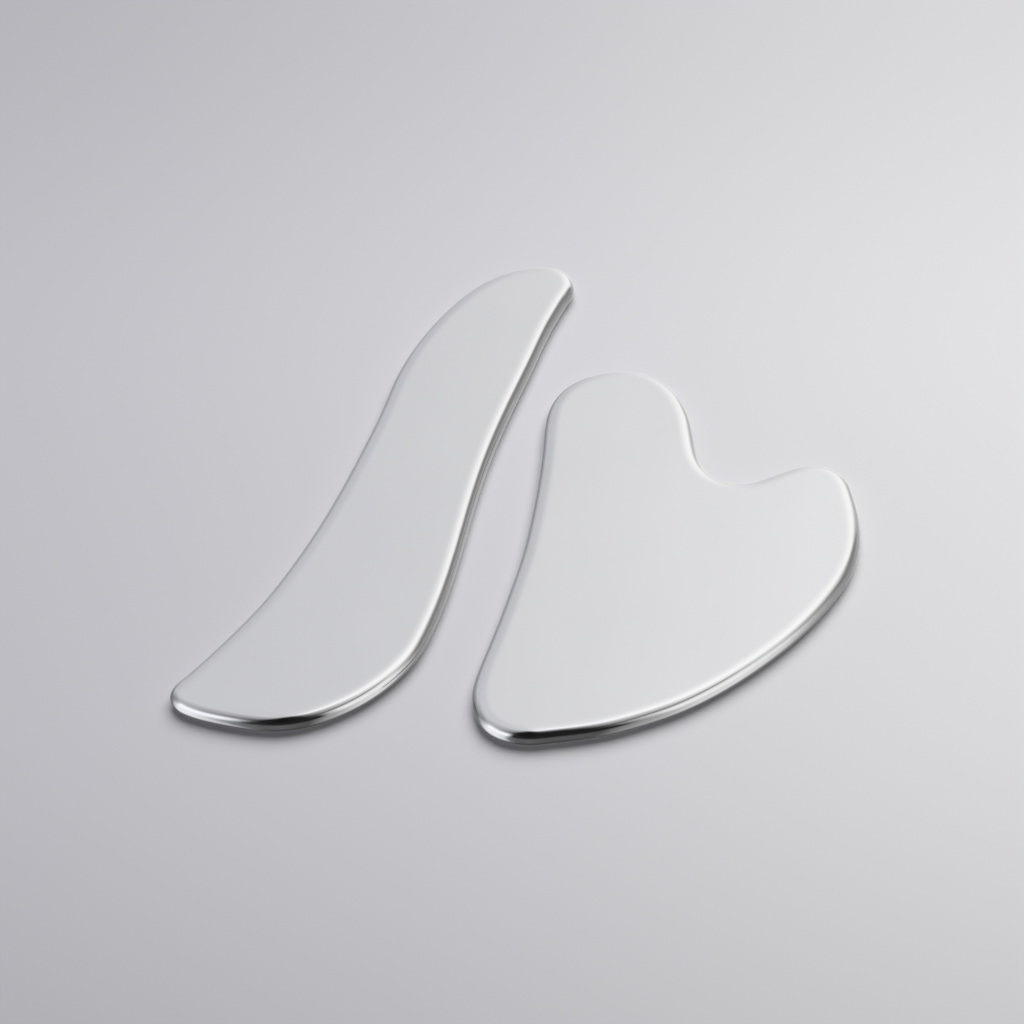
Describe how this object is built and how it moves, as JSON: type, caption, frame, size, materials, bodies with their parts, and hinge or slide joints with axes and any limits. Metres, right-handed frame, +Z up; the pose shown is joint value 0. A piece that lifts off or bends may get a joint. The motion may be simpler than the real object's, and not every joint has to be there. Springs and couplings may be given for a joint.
{
  "type": "gua sha scraper set",
  "caption": "Flat polished steel massage scrapers with fully rounded edges: a lopsided heart with a deep notch and a long wave-shaped blade.",
  "frame": {"origin": "middle of the set's footprint, on the table the plates lie on", "axes": "+Z up through the thickness, +X to the right and +Y away from someone who has the heart plate on the right"},
  "size_m": [0.116, 0.1106, 0.0035],
  "materials": {
    "steel": "mirror-polished stainless steel with fine handling scratches"
  },
  "bodies": {
    "heart": {"heart_scraper": "steel"},
    "wave": {"wave_scraper": "steel"}
  },
  "joints": [
    {"name": "wave_lift", "type": "slide", "parent": "heart", "child": "wave", "axis": [0, 0, 1], "range_m": [0, 0.1]}
  ]
}
